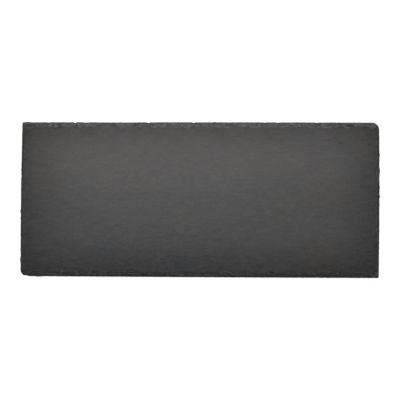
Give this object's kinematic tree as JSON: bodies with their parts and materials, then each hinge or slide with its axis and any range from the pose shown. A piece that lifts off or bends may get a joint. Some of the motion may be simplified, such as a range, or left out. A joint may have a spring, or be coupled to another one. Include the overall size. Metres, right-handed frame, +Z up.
{
  "type": "slate slab",
  "caption": "Thin rectangular slab of split slate with flat riven faces and hand-chipped, bevelled edges.",
  "frame": {"origin": "under the middle of the slab, on the surface it rests on", "axes": "+X along the slab's length, +Y across it towards its back edge, +Z up through its thickness"},
  "size_m": [0.3021, 0.1312, 0.0049],
  "materials": {
    "slate": "natural split face, faintly satin"
  },
  "bodies": {
    "root": {"slab": "slate"}
  },
  "joints": []
}
